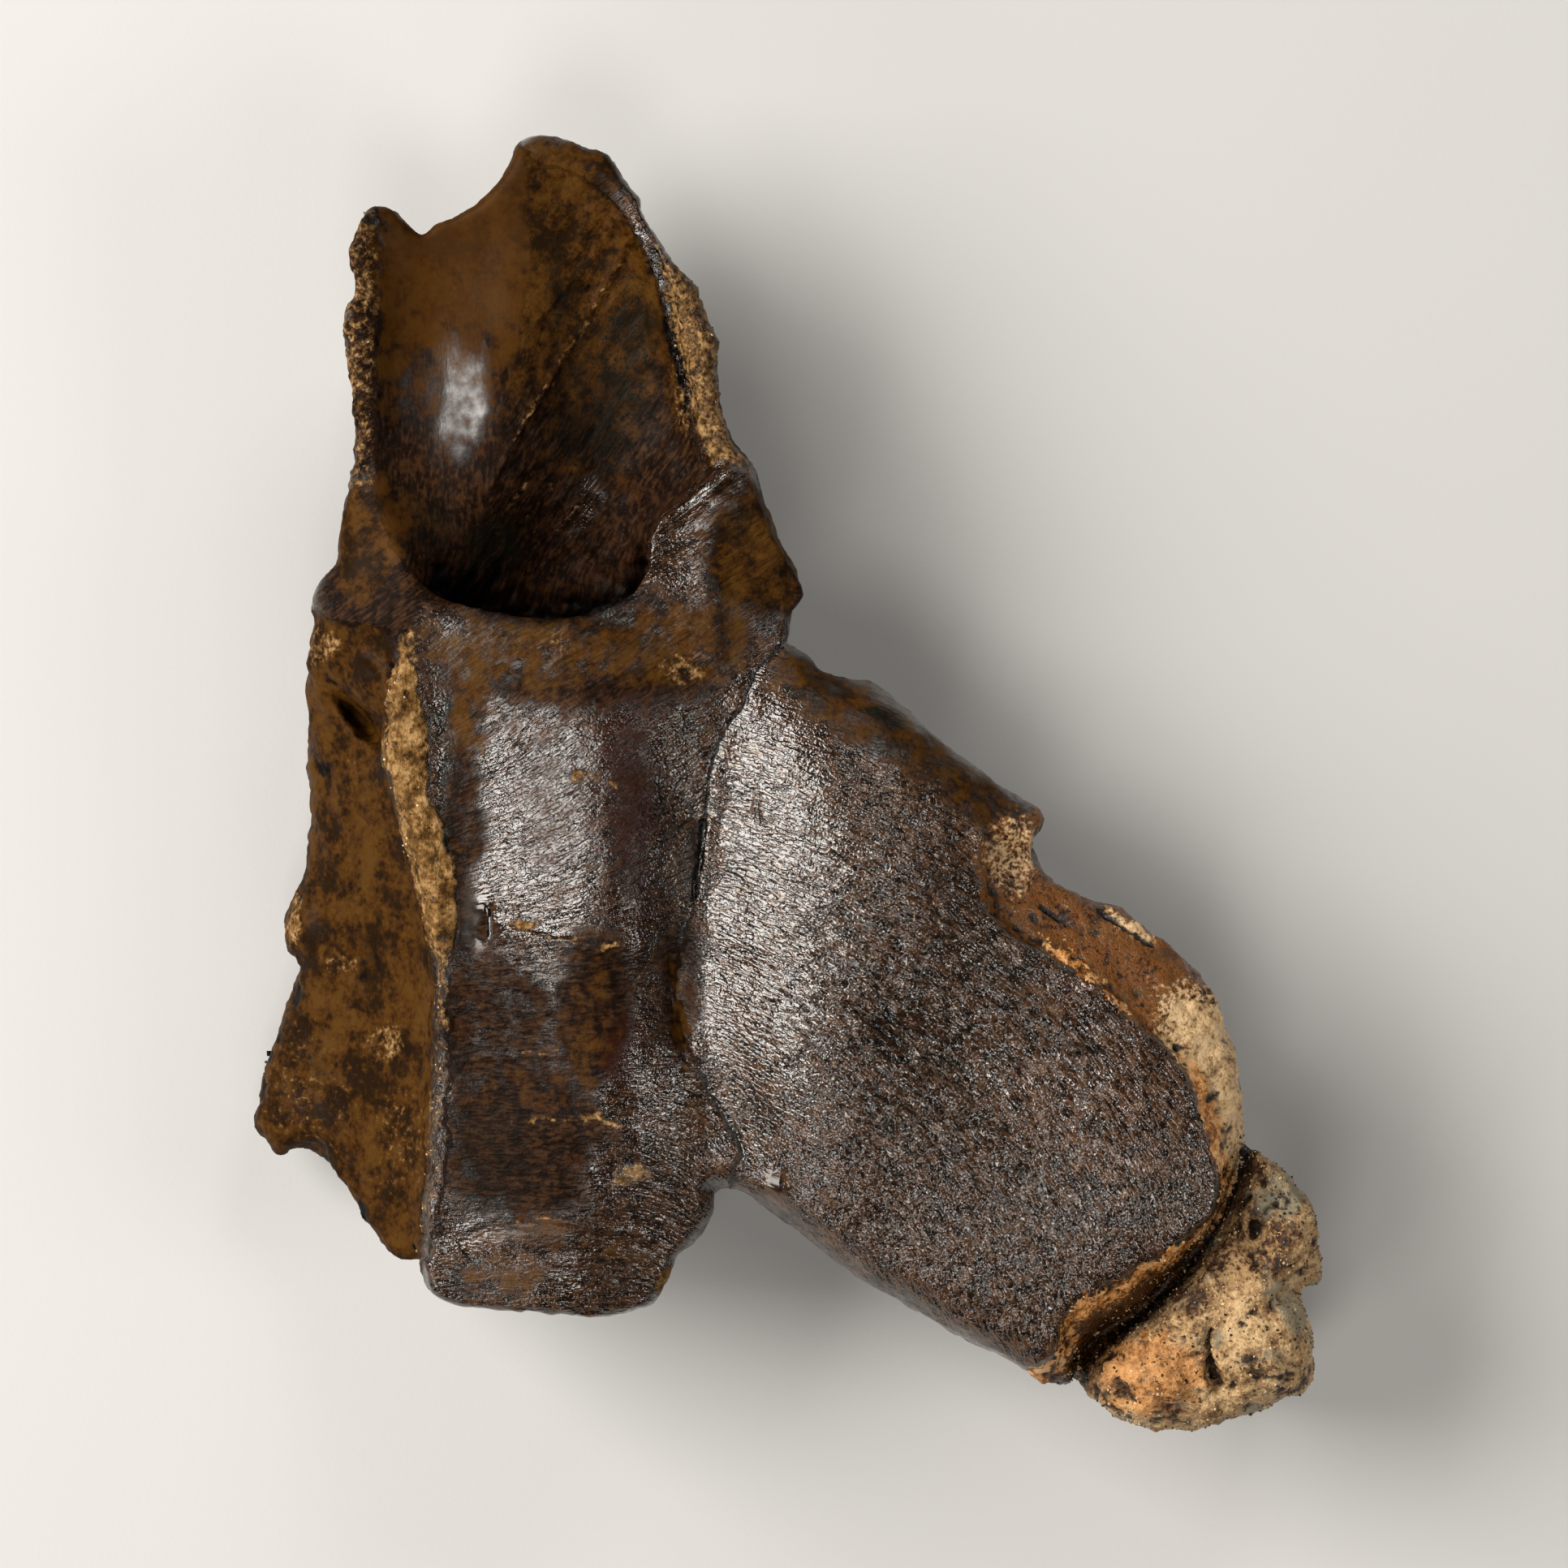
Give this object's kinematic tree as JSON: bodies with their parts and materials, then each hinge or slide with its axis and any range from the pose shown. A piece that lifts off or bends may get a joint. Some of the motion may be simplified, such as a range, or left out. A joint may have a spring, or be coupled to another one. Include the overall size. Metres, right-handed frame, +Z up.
{
  "type": "fossil vertebra process",
  "caption": "Broken fossil vertebra process of a duck-billed dinosaur: a hollowed tip, a ridged column and a long flared wing that ends in a rough lump.",
  "frame": {"origin": "under the middle of the bone, on the plane of the broken stumps that it lies on", "axes": "+Z up out of the polished side, +Y along the bone towards its hollowed tip, +X across it towards the end of the wing"},
  "size_m": [0.1336, 0.1606, 0.0451],
  "materials": {
    "fossil_bone": "dark chocolate-brown mineralised bone with a polished fibrous sheen, ochre flank, orange-brown broken end and a rough tan lump"
  },
  "bodies": {
    "root": {"vertebra_process": "fossil_bone"}
  },
  "joints": []
}
